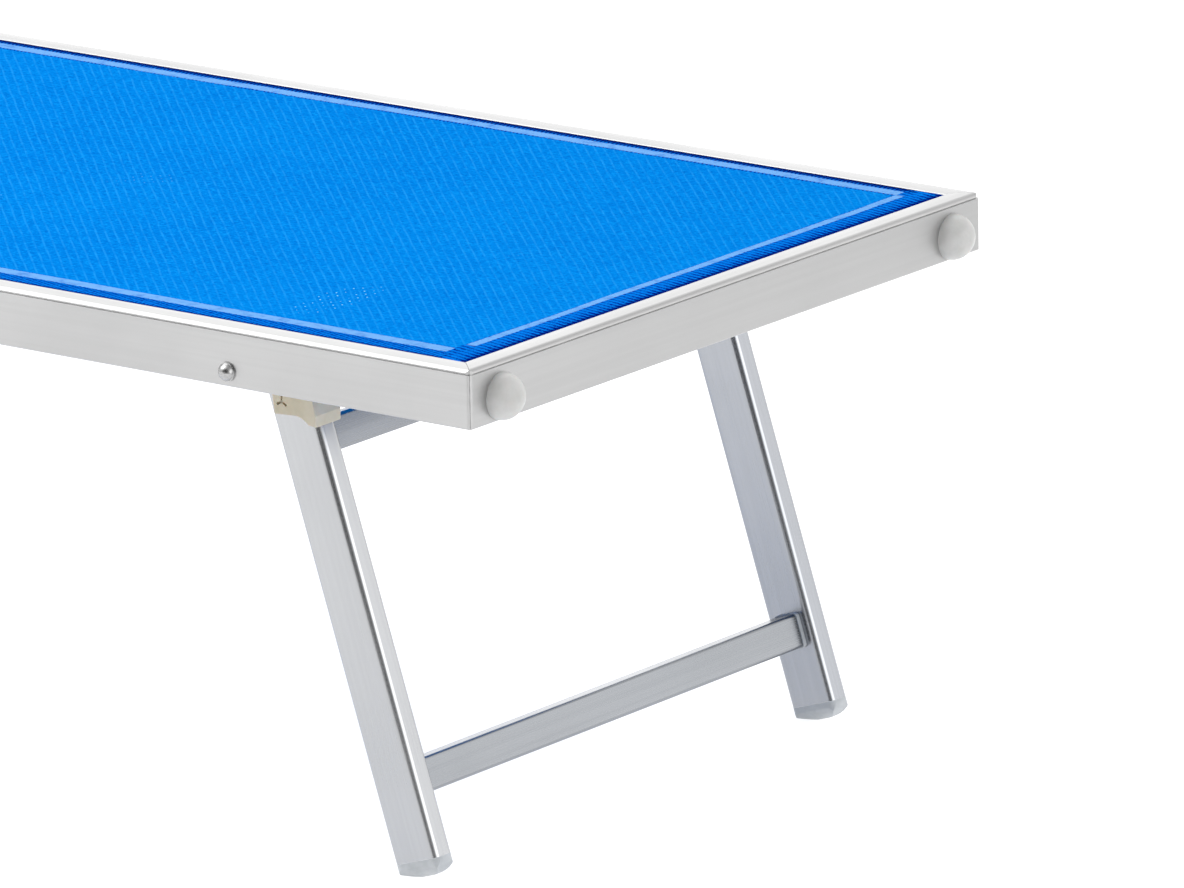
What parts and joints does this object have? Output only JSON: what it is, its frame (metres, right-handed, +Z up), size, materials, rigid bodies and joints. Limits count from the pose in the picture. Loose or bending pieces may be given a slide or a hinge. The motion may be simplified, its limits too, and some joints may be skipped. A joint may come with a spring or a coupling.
{
  "type": "folding sunbed",
  "caption": "Folding aluminium sunbed with a stretched fabric bed, fold-under leg frames and a backrest on a prop and toothed racks.",
  "frame": {"origin": "on the floor, below the centre of the bed frame", "axes": "+X towards the foot end, left side is -Y, +Z up"},
  "size_m": [1.904, 0.612, 0.8252],
  "materials": {
    "rail_aluminium": "satin silver anodised",
    "leg_aluminium": "satin silver anodised",
    "tube_aluminium": "satin",
    "bright_steel": "polished",
    "cream_nylon": "satin moulded",
    "white_plastic": "satin moulded",
    "grey_plastic": "satin moulded",
    "blue_fabric": "woven coated mesh",
    "edge_rod": "matte"
  },
  "bodies": {
    "bed_frame": {"side_rail_left": "rail_aluminium", "side_rail_right": "rail_aluminium", "foot_end_rail": "rail_aluminium", "head_end_rail": "rail_aluminium", "corner_keys": "tube_aluminium", "end_bumpers": "white_plastic", "leg_pivot_rivets": "bright_steel", "leg_pivot_washers": "bright_steel", "hinge_block_foot_left": "cream_nylon", "hinge_block_foot_right": "cream_nylon", "hinge_block_head_left": "cream_nylon", "hinge_block_head_right": "cream_nylon", "backrest_hinge_pins": "bright_steel", "backrest_spacers": "grey_plastic", "cross_tube_plugs": "grey_plastic", "cross_tube_screws": "bright_steel", "seat_cross_tube": "tube_aluminium", "backrest_rack_left": "cream_nylon", "backrest_rack_right": "cream_nylon", "rack_screws": "bright_steel", "seat_fabric": "blue_fabric", "seat_edge_rods": "edge_rod"},
    "foot_legs": {"leg_tube_foot_left": "leg_aluminium", "leg_tube_foot_right": "leg_aluminium", "leg_caps_foot": "grey_plastic", "crossbar_upper_foot": "leg_aluminium", "crossbar_lower_foot": "leg_aluminium", "crossbar_collars_foot": "grey_plastic"},
    "head_legs": {"leg_tube_head_left": "leg_aluminium", "leg_tube_head_right": "leg_aluminium", "leg_caps_head": "grey_plastic", "crossbar_upper_head": "leg_aluminium", "crossbar_lower_head": "leg_aluminium", "crossbar_collars_head": "grey_plastic"},
    "backrest": {"backrest_rail_left": "rail_aluminium", "backrest_rail_right": "rail_aluminium", "backrest_lower_bar": "tube_aluminium", "backrest_top_bar": "tube_aluminium", "backrest_bushes": "grey_plastic", "backrest_end_caps": "grey_plastic", "prop_pivot_pins": "bright_steel", "prop_pivot_washers": "bright_steel", "backrest_edge_rods": "edge_rod", "backrest_fabric": "blue_fabric"},
    "back_prop": {"prop_arm_left": "tube_aluminium", "prop_arm_right": "tube_aluminium", "prop_bar": "tube_aluminium", "prop_bar_sleeves": "grey_plastic"}
  },
  "joints": [
    {"name": "foot_leg_fold", "type": "hinge", "parent": "bed_frame", "child": "foot_legs", "pos_m": [0.722, 0, 0.3626], "axis": [0, 1, 0], "range_deg": [0, 99]},
    {"name": "head_leg_fold", "type": "hinge", "parent": "bed_frame", "child": "head_legs", "pos_m": [-0.775, 0, 0.3626], "axis": [0, -1, 0], "range_deg": [0, 99]},
    {"name": "backrest_tilt", "type": "hinge", "parent": "bed_frame", "child": "backrest", "pos_m": [-0.23, 0, 0.381], "axis": [0, 1, 0], "range_deg": [-40, 30]},
    {"name": "prop_swing", "type": "hinge", "parent": "backrest", "child": "back_prop", "pos_m": [-0.41002, 0, 0.53206], "axis": [0, 1, 0], "range_deg": [-60, 80]}
  ],
  "couplings": [
    {"joint": "prop_swing", "follows": "backrest_tilt", "ratio": -2}
  ]
}
